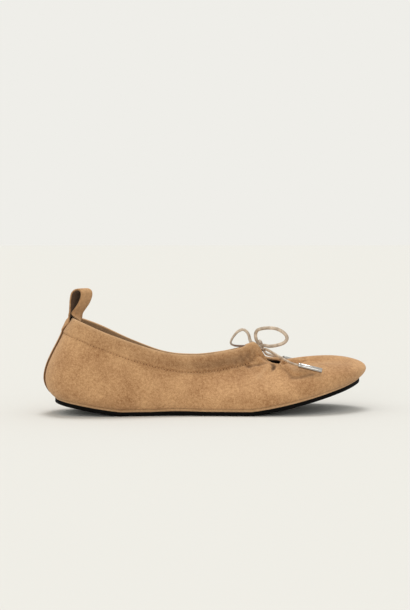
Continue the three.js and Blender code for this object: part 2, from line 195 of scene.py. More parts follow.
def smooth(rows, place, closed=False):
    """Smooth curve through equally spaced rows. With a, b, c and d the rows around a place, and t its share
    of the way from b to c, the value is b + t/2 (c - a + t (2a - 5b + 4c - d + t (3b - 3c + d - a)))."""
    rows = np.asarray(rows, dtype=float)
    count = len(rows)
    place = np.asarray(place, dtype=float)
    row = np.floor(place).astype(int) if closed else np.clip(np.floor(place).astype(int), 0, count - 2)
    share = (place - row).reshape(place.shape + (1,) * (rows.ndim - 1))
    four = [row + step for step in (-1, 0, 1, 2)]
    a, b, c, d = (rows[i % count] if closed else rows[np.clip(i, 0, count - 1)] for i in four)
    return b + share / 2 * (c - a + share * (2 * a - 5 * b + 4 * c - d + share * (3 * b - 3 * c + d - a)))


def travelled(points):
    """How far along a chain of points each of them lies."""
    return np.concatenate([[0], np.cumsum(np.linalg.norm(np.diff(points, axis=0), axis=-1))])


def at_distances(stops, distance, vectors):
    """Vectors at some distances along a line, between those that are known."""
    return np.stack([np.interp(stops, distance, vectors[:, axis]) for axis in range(3)], -1)


def evenly(route, step):
    """Points a fixed distance apart on the smooth curve through a route, and the curve's length."""
    fine = smooth(route, np.linspace(0, len(route) - 1, CURVE_STEPS * len(route)))
    distance = travelled(fine)
    stops = np.linspace(0, distance[-1], int(distance[-1] / step) + 1)
    return at_distances(stops, distance, fine), distance[-1]


def tube(path, width, thickness, turned, sides, round_path=False):
    """Rings of an ellipse carried along a path. The flat side faces the outer side of the foot, turned from
    there about the path by an angle. Open ends are domed: their last rings shrink as the square root of
    1 - s squared, while s runs from 0 to 1."""
    ahead = np.roll(path, -1, 0) - np.roll(path, 1, 0) if round_path else np.gradient(path, axis=0)
    along = unit(ahead)
    upright = unit(np.cross(along, (0, 1.0, 0)))
    level = np.cross(along, upright)
    angle = np.radians(turned)
    across = upright * np.cos(angle) + level * np.sin(angle)
    through = np.cross(along, across)
    angle = np.linspace(0, 2 * math.pi, sides, endpoint=False)[None, :, None]
    section = np.cos(angle) * across[:, None] * width / 2 + np.sin(angle) * through[:, None] * thickness / 2
    if round_path:
        return path[:, None] + section
    bulge = np.sin(np.linspace(0, math.pi / 2, DOME_RINGS))[:, None]
    size = np.sqrt(1 - bulge ** 2)[:, :, None]
    head = path[0] - bulge * along[0] * thickness / 2
    tail = path[-1] + bulge * along[-1] * thickness / 2
    rings = [(head[:, None] + section[0] * size)[::-1], path[:, None] + section]
    return np.concatenate([*rings, tail[:, None] + section[-1] * size])


def node(tree, kind, inputs=None, **settings):
    """Adds a shader node with its settings, and sets or links each of its inputs."""
    new = tree.nodes.new(kind)
    for key, value in settings.items():
        setattr(new, key, value)
    for socket, value in (inputs or {}).items():
        if isinstance(value, bpy.types.NodeSocket):
            tree.links.new(value, new.inputs[socket])
        else:
            new.inputs[socket].default_value = value
    return new


# A mix node has sockets for each kind of value. These are the ones for colours.
MIX_FIRST = 6
MIX_SECOND = 7
MIX_RESULT = 2


def two_tones(ramp, first, second, places=(0, 1)):
    """Sets the places and the linear colours of a ramp's two stops."""
    for stop, place, colour in zip(ramp.color_ramp.elements, places, (first, second)):
        stop.position = place
        stop.color = colour


def cells(width):
    """Scale of a pattern whose grains or pores are that many millimetres wide."""
    return 1 / (width * MM)


def leather_cord():
    """Pale leather, burnished smooth, with low pores and a soft gloss. Its back is the brown flesh side,
    which is turned to the view where a cord lies in shade, so it is partly painted shade. The pores are
    drawn about 0.4 mm apart, coarser than real ones, which are too fine to show."""
    material, tree, shader = finish(
        "cord_leather", Roughness=0.38, Specular_IOR_Level=0.55, Coat_Weight=0.25, Coat_Roughness=0.3
    )
    place = node(tree, "ShaderNodeTexCoord").outputs["Object"]
    patch = node(
        tree, "ShaderNodeTexNoise", {"Vector": place, "Scale": cells(CORD_GRAIN["tone"]), "Detail": 3}
    )
    tone = node(tree, "ShaderNodeValToRGB", {"Fac": patch.outputs["Fac"]})
    two_tones(tone, linear("9C8872"), linear("CDB9A2"), (0.35, 0.68))
    # The darker flesh side, partly painted shade on the cords' shaded sides.
    flesh_side_and_shade = node(tree, "ShaderNodeAttribute", attribute_name="flesh_side_and_shade")
    sides = node(
        tree,
        "ShaderNodeMix",
        {"Factor": flesh_side_and_shade.outputs["Fac"], MIX_FIRST: tone.outputs["Color"], MIX_SECOND: linear("6A4C39")},
        data_type="RGBA",
    )
    tree.links.new(sides.outputs[MIX_RESULT], shader.inputs["Base Color"])
    pores = node(tree, "ShaderNodeTexVoronoi", {"Vector": place, "Scale": cells(CORD_GRAIN["pores"])})
    bump = node(
        tree, "ShaderNodeBump", {"Height": pores.outputs["Distance"], "Distance": 0.06 * MM, "Strength": 0.5}
    )
    tree.links.new(bump.outputs["Normal"], shader.inputs["Normal"])
    return material


cord_leather = leather_cord()
# The flesh side is what lies below the back level of the cord's section. It is darker brown, and the
# cords are turned so that it faces the view where they lie in shade: there it is painted shade.
cord_flesh_side_and_shade = (np.sin(np.linspace(0, 2 * math.pi, CORD_SIDES, endpoint=False)) < BACK_LEVEL)[None, :]
cord_root = KNOT_PLACE - [0, 0, KNOT_DROP]
knot_box = np.array(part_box("bow_knot")) / MM
throat_peak = knot_box.mean(0) - KNOT_PLACE
cord_paths = {}
for name, cord in CORDS.items():
    last = [cord_root] if cord["far_end"] == "object" else []
    path, length = evenly(throat_peak + np.array([cord_root, *cord["route"], *last]), CORD_STEP)
    turned = np.linspace(*cord["turned"], len(path))[:, None]
    rings = tube(path, CORD_WIDTH, CORD_THICKNESS, turned, CORD_SIDES)
    piece = surface(f"cord_{name}", rings, round_columns=True, attributes={"flesh_side_and_shade": cord_flesh_side_and_shade})
    piece.data.materials.append(cord_leather)
    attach(piece, "root")
    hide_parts(name)
    cord_paths[name] = path, length

# The knot. It is made of the drawstring's own flat leather cord, wound twice round the roots of the two
# loops and pulled tight.
KNOT_RING = 1.2
KNOT_STEPS = 48
KNOT_TURNS = [
    {"shift": -1.05, "lean": 14},
    {"shift": 0.95, "lean": -10},
]


def knot_turn(shift, lean):
    """A ring round the line across the shoe, shifted along it and leaning by an angle about the upright."""
    angle = np.linspace(0, 2 * math.pi, KNOT_STEPS, endpoint=False)
    slant = math.tan(math.radians(lean)) * KNOT_RING * np.cos(angle)
    ring = np.stack([KNOT_RING * np.cos(angle), shift + slant, KNOT_RING * np.sin(angle)], -1)
    centre = knot_box.mean(0) - [0, 0, KNOT_DROP]
    rings = tube(ring + centre, CORD_WIDTH, CORD_THICKNESS, 90, CORD_SIDES, round_path=True)
    return surface("cord_knot", rings, round_rows=True, round_columns=True, attributes={"flesh_side_and_shade": cord_flesh_side_and_shade})


def join(pieces, name):
    """Puts the meshes of several pieces into the first of them."""
    with bpy.context.temp_override(active_object=pieces[0], selected_editable_objects=pieces):
        bpy.ops.object.join()
    pieces[0].name = pieces[0].data.name = name
    return pieces[0]


knot = join([knot_turn(**turn) for turn in KNOT_TURNS], "cord_knot")
knot.data.materials.append(cord_leather)
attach(knot, "root")
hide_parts("bow_knot")

# The cord's two tips: round aglets turned from steel, pressed over the cord's ends and polished bright,
# with a small bevel at both ends and a bored mouth that the cord goes into.
TIP_LENGTH = 18
TIP_RADIUS = 1.85
TIP_BEVEL = 0.35
TIP_MOUTH = 1.25
TIP_FALL = -0.22
TIP_GAP = 0.3
TIP_SIDES = 40
TURNING_MARKS = 0.667
TIP_PROFILE = [
    (0, 2.2), (TIP_MOUTH, 2.0), (TIP_MOUTH, 0.15), (TIP_MOUTH + 0.12, 0), (TIP_RADIUS - TIP_BEVEL, 0),
    (TIP_RADIUS - 0.1, 0.1), (TIP_RADIUS, TIP_BEVEL), (TIP_RADIUS, 1.6), (TIP_RADIUS - 0.1, 1.75),
    (TIP_RADIUS - 0.1, 2.0), (TIP_RADIUS, 2.15), (TIP_RADIUS, TIP_LENGTH / 2),
    (TIP_RADIUS, TIP_LENGTH - TIP_BEVEL), (TIP_RADIUS - 0.1, TIP_LENGTH - 0.1),
    (TIP_RADIUS - TIP_BEVEL, TIP_LENGTH), (0.5, TIP_LENGTH), (0, TIP_LENGTH),
]


def lathe(profile, start, along, sides):
    """A profile of radii and distances turned round the line from start along a direction."""
    radius, distance = np.array(profile, dtype=float).T
    side = unit(np.cross(along, (0, 0, 1.0)))
    angle = np.linspace(0, 2 * math.pi, sides, endpoint=False)[None, :, None]
    round_way = np.cos(angle) * side + np.sin(angle) * np.cross(along, side)
    return start + distance[:, None, None] * along + radius[:, None, None] * round_way


def polished_steel():
    """Steel polished bright: a mirror gloss with the faint marks that turning leaves. They are drawn about
    0.7 mm wide, coarser than real ones."""
    material, tree, shader = finish(
        "polished_steel", Base_Color=linear("B4B1AD"), Metallic=1.0, Roughness=0.16
    )
    place = node(tree, "ShaderNodeTexCoord").outputs["Object"]
    marks = node(tree, "ShaderNodeTexNoise", {"Vector": place, "Scale": cells(TURNING_MARKS), "Detail": 4})
    bump = node(
        tree, "ShaderNodeBump", {"Height": marks.outputs["Fac"], "Distance": 0.01 * MM, "Strength": 0.3}
    )
    tree.links.new(bump.outputs["Normal"], shader.inputs["Normal"])
    return material


steel = polished_steel()
for side in ("outer", "inner"):
    before, end = throat_peak + np.array(CORDS[f"bow_end_{side}"]["route"][-2:])
    along = end - before
    along[2] = TIP_FALL * np.linalg.norm(along)
    along = unit(along)
    rings = lathe(TIP_PROFILE, end + along * TIP_GAP, along, TIP_SIDES)
    tip = surface(f"tip_{side}", rings, round_columns=True)
    tip.data.materials.append(steel)
    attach(tip, "root")
    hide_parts(f"cord_tip_{side}")

for name, cord in CORDS.items():
    path, length = cord_paths[name]


# The outsole. One thin sheet of black rubber cut to the sole's outline and curled up at heel and toe.
# It is glued under the upper, stands half a millimetre proud of it, and has fine ribs underneath.
SHOE_LENGTH = 248
BALL_WIDTH = 76
SOLE_THICKNESS = 3
SOLE_LEDGE = 0.5
SOLE_BEVEL = 0.7
CLEARANCE = 0.3
HEEL_FLAT = (0.23, 0.3)
FORE_FLAT = (0.49, 0.61)
HEEL_LIFT = 8.2
HEEL_CURL = 1.2
HEEL_END = 0.0355
TOE_SPRING = 20.2
TOE_CURL = 1.22
TOE_END = 0.974
ARCH_LIFT = 0.5
ORIGIN_ALONG = SHOE_LENGTH * sum(HEEL_FLAT) / 2
ROUND_STEPS = 640
BEVEL_STEPS = 5
TREAD_SHARES = (1, 0.8, 0.6, 0.4, 0.25, 0.12, 0.05)
TREAD_ROWS = 6
SIDE_HEIGHTS = (1.2, 1.8, 2.4, 2.8)
TOP_BEVEL = 0.15
TOP_SHARES = (0.03, 0.2, 0.6, 1)
RUBBER_GRAIN = {"tone": 7.14, "grain": 0.417}
RIB_SPACING = 2.86
SOLE_EDGE = {
    "along": [
        0.0355, 0.064, 0.161, 0.274, 0.387, 0.5, 0.609, 0.718, 0.827, 0.923,
        0.974, 0.926, 0.834, 0.726, 0.617, 0.512, 0.403, 0.29, 0.177, 0.072,
    ],
    "across": [
        0, -0.24, -0.355, -0.362, -0.375, -0.426, -0.485, -0.503, -0.422, -0.228,
        0.066, 0.36, 0.488, 0.502, 0.436, 0.345, 0.292, 0.29, 0.32, 0.25,
    ],
}


def around(column, turns):
    """Value of a table's column at turns from 0 to 1, on a closed smooth curve through its rows."""
    return smooth(column, np.asarray(turns) * len(column), closed=True)


def underside(x):
    """Height of the sole's bottom: nothing on the two flats, a low arch between them as the sine squared,
    and at each end a lift that grows with a power of the distance past the flat."""
    share = (x + ORIGIN_ALONG) / SHOE_LENGTH
    heel = HEEL_LIFT * np.clip((HEEL_FLAT[0] - share) / (HEEL_FLAT[0] - HEEL_END), 0, None) ** HEEL_CURL
    toe = TOE_SPRING * np.clip((share - FORE_FLAT[1]) / (TOE_END - FORE_FLAT[1]), 0, None) ** TOE_CURL
    arch = np.clip((share - HEEL_FLAT[1]) / (FORE_FLAT[0] - HEEL_FLAT[1]), 0, 1)
    return heel + toe + ARCH_LIFT * np.sin(math.pi * arch) ** 2


def foot_line(turns):
    """Where the upper meets the sole: the outline in plan, one clearance above the sole's top."""
    x = SHOE_LENGTH * around(SOLE_EDGE["along"], turns) - ORIGIN_ALONG
    y = BALL_WIDTH * around(SOLE_EDGE["across"], turns)
    return np.stack([x, y, underside(x) + SOLE_THICKNESS + CLEARANCE], -1)


def outwards(turns):
    """Unit vector in plan, straight out from the outline: the way round it, turned a quarter clockwise."""
    step = 0.001
    ahead = foot_line(turns + step) - foot_line(turns - step)
    return unit(np.stack([ahead[..., 1], -ahead[..., 0], np.zeros_like(turns)], -1))


def slab(profile, turns):
    """A sheet with the sole's outline. Each profile row is a ring: its inset from the outline, its height
    over the underside and its share of the way in to the middle line, where the two sides meet."""
    rings = []
    for inset, height, inwards in profile:
        edge = foot_line(turns) - outwards(turns) * np.reshape(inset, (-1, 1))
        ring = edge + (edge[-np.arange(len(turns))] - edge) * inwards / 2
        ring[:, 2] = underside(ring[:, 0]) + height
        rings.append(ring)
    return np.array(rings)


def black_rubber():
    """Moulded synthetic rubber: near black and matt, with a fine even grain. Across the tread it has ribs
    about 3 mm apart. The grain is drawn about 0.4 mm wide, coarser than real."""
    material, tree, shader = finish("black_rubber", Roughness=0.8, Specular_IOR_Level=0.1)
    place = node(tree, "ShaderNodeTexCoord").outputs["Object"]
    dust = node(
        tree, "ShaderNodeTexNoise", {"Vector": place, "Scale": cells(RUBBER_GRAIN["tone"]), "Detail": 5}
    )
    tone = node(tree, "ShaderNodeValToRGB", {"Fac": dust.outputs["Fac"]})
    two_tones(tone, linear("030201"), linear("0A0706"), (0.4, 0.75))
    tree.links.new(tone.outputs["Color"], shader.inputs["Base Color"])
    grain = node(
        tree, "ShaderNodeTexNoise", {"Vector": place, "Scale": cells(RUBBER_GRAIN["grain"]), "Detail": 2}
    )
    # The bands of a wave texture are a tenth of pi apart, at a scale of 1.
    ribs = node(
        tree,
        "ShaderNodeTexWave",
        {"Vector": place, "Scale": math.pi / 10 * cells(RIB_SPACING)},
        bands_direction="X",
        wave_profile="SIN",
    )
    tread = node(tree, "ShaderNodeAttribute", attribute_name="tread")
    depth = node(
        tree, "ShaderNodeMath", {0: ribs.outputs["Fac"], 1: tread.outputs["Fac"]}, operation="MULTIPLY"
    )
    height = node(
        tree,
        "ShaderNodeMath",
        {0: grain.outputs["Fac"], 1: 0.12, 2: depth.outputs["Value"]},
        operation="MULTIPLY_ADD",
    )
    bump = node(tree, "ShaderNodeBump", {"Height": height.outputs["Value"], "Distance": 0.6 * MM})
    tree.links.new(bump.outputs["Normal"], shader.inputs["Normal"])
    return material


turns = np.arange(ROUND_STEPS) / ROUND_STEPS
bevel_turn = np.linspace(0, math.pi / 2, BEVEL_STEPS)
sole_profile = [(SOLE_BEVEL - SOLE_LEDGE, 0, share) for share in TREAD_SHARES]
sole_profile += [
    (SOLE_BEVEL * (1 - math.sin(a)) - SOLE_LEDGE, SOLE_BEVEL * (1 - math.cos(a)), 0) for a in bevel_turn
]
sole_profile += [(-SOLE_LEDGE, height, 0) for height in SIDE_HEIGHTS]
sole_profile += [(TOP_BEVEL - SOLE_LEDGE, SOLE_THICKNESS, 0)]
sole_profile += [(0, SOLE_THICKNESS, share) for share in TOP_SHARES]
tread_rows = (np.arange(len(sole_profile)) < TREAD_ROWS).astype(float)[:, None]
outsole = surface(
    "rubber_outsole",
    slab(sole_profile, turns)[::-1],
    round_columns=True,
    attributes={"tread": tread_rows[::-1]},
)
outsole.data.materials.append(black_rubber())
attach(outsole, "root")
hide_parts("outsole")


# The upper. One piece of camel suede, just under two millimetres thick with its lining, lasted over the
# sole's edge. Its collar is folded in over an elastic and the drawstring, and sewn down with one row
# of stitches: this casing draws the suede up into gathers, which are tightest on both sides of the throat.
COLLAR_HEIGHT = 71
WALL = 1.8
CASING_WIDTH = 12.5
CASING_STEP = 0.6
COLLAR_EDGE = {
    "along": [0.087, 0.101, 0.173, 0.274, 0.375, 0.464, 0.54, 0.599, 0.64, 0.68, 0.728],
    "across": [0, 0.165, 0.27, 0.29, 0.265, 0.218, 0.16, 0.103, 0.076, 0.072, 0.02],
    "outer": [1, 0.98, 0.87, 0.737, 0.635, 0.61, 0.637, 0.677, 0.727, 0.57, 0.562],
    "inner": [1, 1, 0.905, 0.738, 0.612, 0.585, 0.614, 0.66, 0.705, 0.568, 0.562],
}
RIM_DIP = {"depth": 5, "turn": 0.48, "width": 0.022}
HOLLOW = {"depth": 3.8, "width": 4.5, "line": np.array([[102, -9.5], [113, -13.5]])}
WALL_SECTIONS = {
    "casing": [1, 1, 1, 1, 1, 1, 1, 1, 0.78, 0.4, 0.2],
    "lean": [55, 66, 72, 74, 74, 72, 68, 64, 58, 50, 30],
    "top_reach": [0.3, 0.41, 0.35, 0.32, 0.33, 0.31, 0.3, 0.3, 0.4, 0.5, 0.45],
    "top_dip": [70, 67, 72, 72, 66, 60, 48, 36, 21, -2, -11],
    "foot_reach": [0.47, 0.45, 0.4, 0.37, 0.4, 0.38, 0.35, 0.36, 0.36, 0.4, 0.5],
    "foot_rise": [38, 45, 50, 52, 52, 52, 52, 56, 54, 46, 38],
}
MARGIN_ROWS = 2
WALL_ROWS = 92
BAND_ROWS = 24
CROWN_ROWS = 8
FOLD_ROWS = 6
MARGIN_WIDTH = 2.5
MARGIN_DROP = np.array([0, 0, 0.9 * CLEARANCE])
CROWN_RISE = 0.7
FOLD_DEPTH = 0.35
THROAT = {"turn": 0.36, "width": 0.05}
HEEL_SEAM = 0.018
STEP_RUN = 0.9
PILLOW = {"height": 0.45, "power": 0.8}
STITCH_GROOVE = {"depth": 0.35, "width": 0.7}
FEATHER_LIP = {"height": 0.12, "rise": 0.6, "width": 0.6}
FEATHER_LINE = {"depth": 0.3, "rise": 1.9, "width": 0.5}
BAND_GATHERS = {"pitch": 4.6, "phase": 0.4, "height": 0.15, "more": 0.75}
WALL_GATHERS = {"pitch": 9.2, "phase": 1.9, "height": 0.25, "more": 0.8}
GATHER_REACH = {"height": 7, "more": 9}
CREASE_LIMIT = 1.45
CREASES = [
    {"depth": 1.7, "width": 1.8, "line": [(0.386, 0.8), (0.3828, 0.758), (0.377, 0.73)]},
    {"depth": 0.7, "width": 2.6, "line": [(0.379, 0.74), (0.3715, 0.71), (0.36, 0.675)]},
    {"depth": 1.1, "width": 2.1, "line": [(0.348, 0.94), (0.365, 0.888), (0.384, 0.87)]},
    {"depth": -0.6, "width": 2.2, "line": [(0.337, 0.645), (0.353, 0.708), (0.371, 0.768)]},
    {
        "depth": 1.1,
        "width": 2.7,
        "line": [(0.3895, 0.66), (0.383, 0.56), (0.378, 0.47), (0.386, 0.435), (0.405, 0.428)],
    },
    {"depth": -1.1, "width": 3.2, "line": [(0.397, 0.653), (0.391, 0.572)]},
    {"depth": 0.6, "width": 1.2, "line": [(0.369, 1.5), (0.35, 1.26), (0.337, 0.99)]},
    {"depth": 0.5, "width": 1.3, "line": [(0.354, 1.68), (0.335, 1.43), (0.321, 1.14)]},
    {"depth": 0.8, "width": 1.3, "line": [(0.379, 1.13), (0.363, 1.01)]},
    {"depth": 0.5, "width": 2.5, "line": [(0.318, 0.86), (0.312, 0.7), (0.302, 0.55)]},
    {"depth": 0.4, "width": 3.0, "line": [(0.285, 0.88), (0.28, 0.72), (0.275, 0.6)]},
    {"depth": 0.9, "width": 1.6, "line": [(0.462, 0.93), (0.48, 0.9), (0.495, 0.82)]},
]
SUEDE_GRAIN = {"strokes": 22.2, "tufts": 1.92, "fibres": 0.667}
# Painted shade and painted highlights: how far the suede goes over to its dark colour in the stitch line,
# over the casing, in the line above the sole, between the gathers, in creases and inside the fold, and to
# its pale colour on the lip at the sole, on ridges and on the collar's edge.
PAINTED_SHADES = {
    "stitch_line": 0.12,
    "casing": 0.1,
    "casing_patch": 0.34,
    "throat_patch": 0.12,
    "feather_line": 0.3,
    "gathers": 0.3,
    "creases": 1.1,
    "fold": 0.45,
}
PAINTED_HIGHLIGHTS = {"feather_lip": 0.5, "ridges": 0.3, "collar_edge": 0.35}


def mirrored(half, sign=1):
    """A half table's column, carried on round the inner side of the foot and back to the heel."""
    return [sign * value for value in half] + half[-2:0:-1]


def near(values, centre, width):
    """A bell that is 1 at the centre and falls to nothing a few widths away from it."""
    return np.exp(-(((values - centre) / width) ** 2))


def collar_line(turns):
    """The collar's edge: a closed smooth curve, with heights of its own on either side of the foot, and
    with the throat slit's outer rim pulled down by a bell of the way round."""
    x = SHOE_LENGTH * around(mirrored(COLLAR_EDGE["along"]), turns) - ORIGIN_ALONG
    y = BALL_WIDTH * around(mirrored(COLLAR_EDGE["across"], -1), turns)
    z = COLLAR_HEIGHT * around(COLLAR_EDGE["outer"] + COLLAR_EDGE["inner"][-2:0:-1], turns)
    return np.stack([x, y, z - RIM_DIP["depth"] * near(turns, RIM_DIP["turn"], RIM_DIP["width"])], -1)


def tilted(direction, degrees, length):
    """A vector of that length, leaning up out of a level direction by an angle."""
    angle = np.radians(degrees)
    level = direction * (length * np.cos(angle))[..., None]
    return level + np.stack([np.zeros_like(length), np.zeros_like(length), length * np.sin(angle)], -1)


def distance_to_line(points, line):
    """Shortest distance from each point to a chain of straight stretches."""
    best = np.full(points.shape[:-1], np.inf)
    for start, end in zip(line[:-1], line[1:]):
        stretch = end - start
        share = np.clip(((points - start) @ stretch) / (stretch @ stretch), 0, 1)
        best = np.minimum(best, np.linalg.norm(points - start - share[..., None] * stretch, axis=-1))
    return best


def upper_skin(turns, ways):
    """Outer face without its casing's step. A way from 0 to 1 runs from the sole to the stitch line up a
    cubic Bezier curve, and a way from 1 to 2 straight up the casing to the collar's edge. Beside the slit
    the face is lowered by a bell of the distance in plan from the hollow's line."""
    column = {key: around(mirrored(values), turns) for key, values in WALL_SECTIONS.items()}
    foot, collar = foot_line(turns), collar_line(turns)
    out = unit((foot - collar) * [1, 1, 0])
    stitch = collar + tilted(out, -column["lean"], CASING_WIDTH * column["casing"])
    chord = np.linalg.norm(foot - stitch, axis=-1)
    low = foot + tilted(outwards(turns), column["foot_rise"], chord * column["foot_reach"])
    high = stitch + tilted(out, -column["top_dip"], chord * column["top_reach"])
    t = np.clip(ways, 0, 1)[..., None]
    wall = foot * (1 - t) ** 3 + 3 * low * t * (1 - t) ** 2 + 3 * high * t ** 2 * (1 - t) + stitch * t ** 3
    face = wall + (collar - stitch) * np.clip(ways - 1, 0, 1)[..., None]
    away = distance_to_line(face[..., :2], HOLLOW["line"])
    return face - HOLLOW["depth"] * near(away, 0, HOLLOW["width"])[..., None] * [0, 0, 1]


def skin_normal(turns, ways):
    """Unit vector out of the skin: the way round the shoe crossed with the way up the wall."""
    step = 0.002
    around_way = upper_skin(turns + step, ways) - upper_skin(turns - step, ways)
    up_way = upper_skin(turns, np.minimum(ways + step, 2)) - upper_skin(turns, np.maximum(ways - step, 0))
    return unit(np.cross(around_way, up_way))


def ruffle(distance, pitch, phase):
    """Uneven gathers along a seam: narrow valleys about one pitch apart, shifted to and fro by two slow
    waves, the sines of the distance over 17 and over 7.3 mm."""
    drift = 1.3 * np.sin(distance / 17 + phase) + 0.8 * np.sin(distance / 7.3 + 2 * phase)
    return 0.5 - np.abs(np.sin(math.pi * distance / pitch + drift))


def gathered(distance, throat, pitch, phase, height, more):
    """Gathers with a height of their own, and more of it towards the throat."""
    return (height + more * throat) * ruffle(distance, pitch, phase)


def soft_waves(along, up):
    """Low waves of a wall that no last fills out: the product of two long sines, and one short sine."""
    long_waves = 0.25 * np.sin(along / 13 + up / 19 + 0.7) * np.sin(up / 11 + 1.3)
    return long_waves + 0.15 * np.sin(along / 6.1 - up / 8)


def side_turn(turns):
    """How far round from the heel a turn lies, on either side: 0 at the heel and 0.5 at the toe."""
    return np.minimum(turns % 1, 1 - turns % 1)


turn_grid, way_grid = np.meshgrid(
    turns,
    np.concatenate([np.linspace(0, 1, WALL_ROWS), np.linspace(1, 2, BAND_ROWS + 1)[1:]]),
)
skin = upper_skin(turn_grid, way_grid)
normal = skin_normal(turn_grid, way_grid)
half_turn = side_turn(turn_grid)
row_steps = np.linalg.norm(np.diff(skin, axis=0), axis=-1)
rise = np.concatenate([np.zeros((1, ROUND_STEPS)), np.cumsum(row_steps, axis=0)])
from_stitch = rise - rise[WALL_ROWS - 1]
stitch_row = skin[WALL_ROWS - 1]
seam = travelled(stitch_row)[None, :]
throat = near(half_turn, THROAT["turn"], THROAT["width"])
heel_free = 1 - near(half_turn, 0, HEEL_SEAM)
band = np.clip(way_grid - 1, 0, 1)
on_band = from_stitch > 0

# The relief in millimetres: the casing's step and fullness, the groove that the stitches pull, gathers on
# both sides of it, low waves on the wall, and a lip and a line where the suede is lasted over the sole.
proud = CASING_STEP * np.clip(from_stitch / STEP_RUN, 0, 1)
pillow = PILLOW["height"] * np.sin(math.pi * band) ** PILLOW["power"] * heel_free
groove = -STITCH_GROOVE["depth"] * near(from_stitch, 0, STITCH_GROOVE["width"]) * heel_free
band_gathers = gathered(seam, throat, **BAND_GATHERS) * np.sin(math.pi * np.clip(band + 0.15, 0, 1))
reach = GATHER_REACH["height"] + GATHER_REACH["more"] * throat
fall = np.exp(-np.clip(-from_stitch, 0, None) / reach) * (1 - np.exp(1.5 * np.minimum(from_stitch, 0)))
gathers = np.where(on_band, band_gathers, gathered(seam, throat, **WALL_GATHERS) * fall)
waves = soft_waves(seam, rise) * np.clip(rise / 12, 0, 1) * np.clip(-from_stitch / 8, 0, 1)
lip_bell = near(rise, FEATHER_LIP["rise"], FEATHER_LIP["width"])
line_bell = near(rise, FEATHER_LINE["rise"], FEATHER_LINE["width"])
feather = FEATHER_LIP["height"] * lip_bell - FEATHER_LINE["depth"] * line_bell
creases = np.zeros_like(rise)
for crease in CREASES:
    for flip in (False, True):
        line_turns = np.array([1 - t if flip else t for t, _ in crease["line"]])
        line = upper_skin(line_turns, np.array([w for _, w in crease["line"]]))
        creases -= crease["depth"] * near(distance_to_line(skin, line), 0, crease["width"])
creases = CREASE_LIMIT * np.tanh(creases / CREASE_LIMIT)
relief = proud + pillow + groove + heel_free * (gathers + waves) + feather + creases
relief = np.maximum(relief, -CREASE_LIMIT)
outer_face = skin + normal * relief[..., None]

edge = outer_face[-1]
edge_normal = normal[-1]
edge_rise = unit(skin[-1] - skin[-2])
half_wall = (WALL + relief[-1]) / 2
crown_angle = np.linspace(0, math.pi, CROWN_ROWS + 2)[1:-1, None, None]
crown = (
    edge
    + edge_normal * half_wall[None, :, None] * (np.cos(crown_angle) - 1)
    + edge_rise * CROWN_RISE * np.sin(crown_angle)
)
fold_turns, fold_ways = np.meshgrid(turns, np.linspace(2, 2 - FOLD_DEPTH, FOLD_ROWS))
fold = upper_skin(fold_turns, fold_ways) - skin_normal(fold_turns, fold_ways) * WALL
lip = foot_line(turns) - MARGIN_DROP
margin = lip - outwards(turns) * MARGIN_WIDTH
suede_points = np.concatenate([[margin], [lip], outer_face, crown, fold])

# Painted shade: the suede is darkened where shade falls. That is in the stitch line, over the casing, in a
# patch of it and one by the throat, in the line above the sole, between the throat's gathers, in creases and
# inside the collar's fold. Painted highlights lighten the lip at the sole, the ridges and the collar's edge.
shade = PAINTED_SHADES["stitch_line"] * near(from_stitch, 0, 0.8) + PAINTED_SHADES["casing"] * np.clip(from_stitch / 3, 0, 1)
shade += PAINTED_SHADES["casing_patch"] * near(from_stitch, 4.5, 4.5) * near(half_turn, 0.3, 0.09)
shade += PAINTED_SHADES["throat_patch"] * near(from_stitch, 2, 8) * near(half_turn, 0.345, 0.03)
shade += PAINTED_SHADES["feather_line"] * near(rise, FEATHER_LINE["rise"], 0.6)
shade += PAINTED_SHADES["gathers"] * throat * np.clip(-gathers, 0, 1)
shade += PAINTED_SHADES["creases"] * np.clip(-creases - 0.55, 0, 1)
fold_painted_shade = np.repeat(shade[-1:] + PAINTED_SHADES["fold"], FOLD_ROWS, 0)
painted_highlight = PAINTED_HIGHLIGHTS["feather_lip"] * near(rise, 0.4, 0.8) + PAINTED_HIGHLIGHTS["ridges"] * np.clip(creases, 0, 1)
painted_highlight += PAINTED_HIGHLIGHTS["collar_edge"] * band ** 10


def padded_rows(values, before, after):
    """The same values with rows added below and above, each a copy of the nearest row."""
    return np.concatenate([np.repeat(values[:1], before, 0), values, np.repeat(values[-1:], after, 0)])


